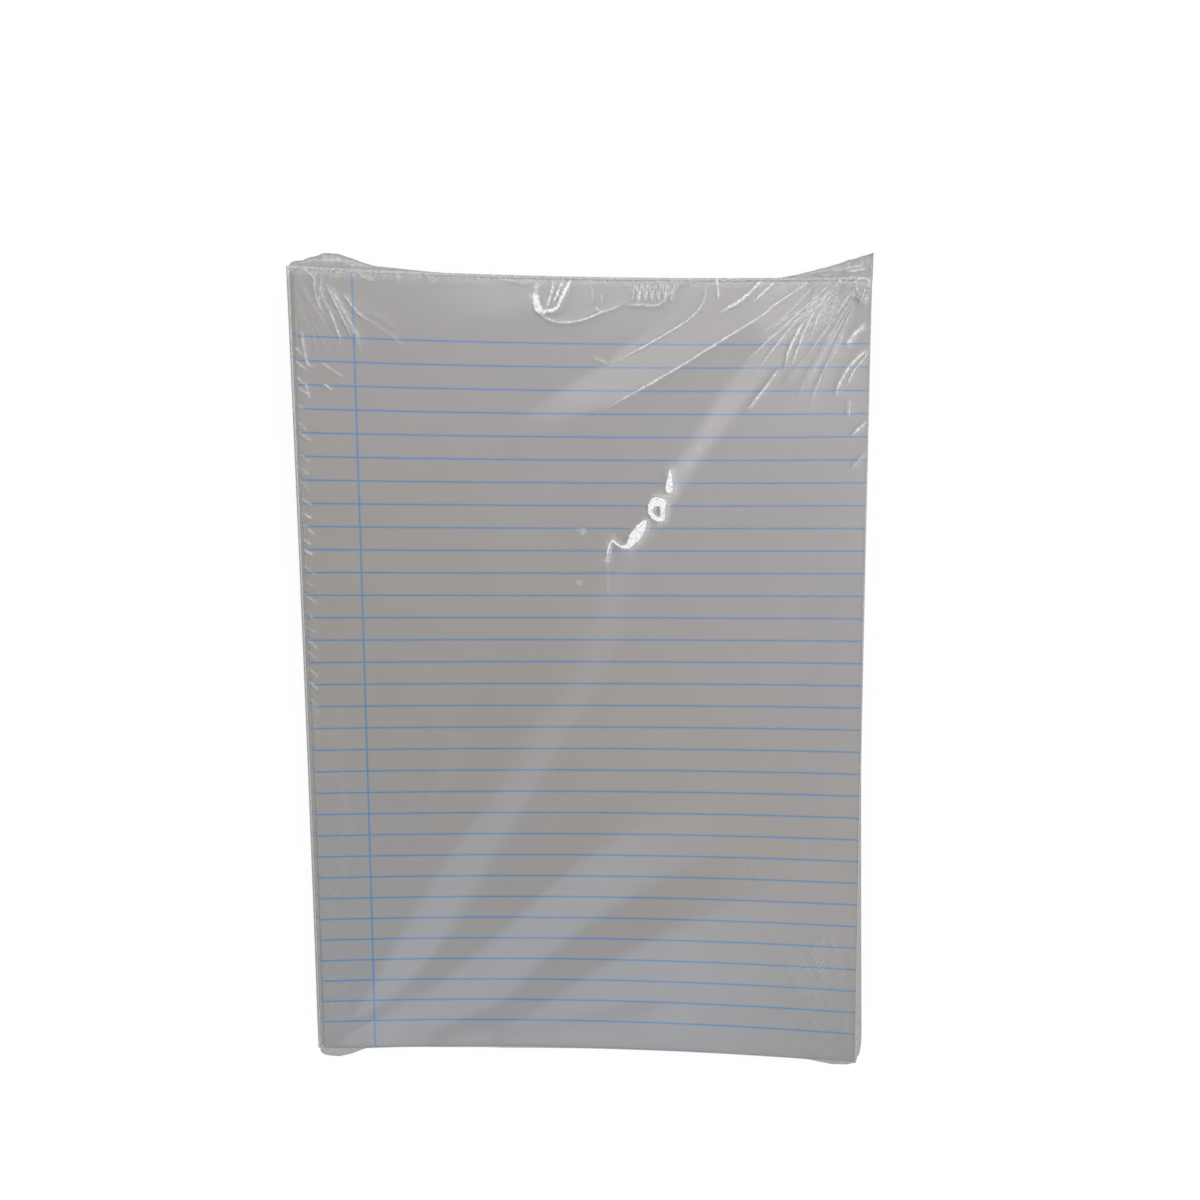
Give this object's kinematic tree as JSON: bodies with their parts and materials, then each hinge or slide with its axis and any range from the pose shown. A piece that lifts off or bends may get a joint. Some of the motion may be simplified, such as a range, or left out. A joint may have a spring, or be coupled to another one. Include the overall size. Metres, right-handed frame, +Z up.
{
  "type": "shrink-wrapped ruled paper",
  "caption": "Pack of loose A4 ruled writing sheets with a blue margin line, curled and sealed in clear shrink film with dog-eared corners.",
  "frame": {"origin": "centre of the flat strip that the pack rests on, under the middle of the stack", "axes": "+X across the sheets to the right, +Y along the sheets to the head, +Z up out of the ruled face"},
  "size_m": [0.2174, 0.3135, 0.0246],
  "materials": {
    "film": "clear shrink film, glossy, with gathers",
    "paper": "uncoated writing paper, matte",
    "feint_ink": "printed blue ruling, matte",
    "margin_ink": "printed blue margin line, matte"
  },
  "bodies": {
    "root": {"film_wrap": "film", "paper_stack": "paper", "ruled_lines": "feint_ink", "margin_line": "margin_ink", "reverse_lines": "feint_ink", "reverse_margin": "margin_ink"}
  },
  "joints": []
}
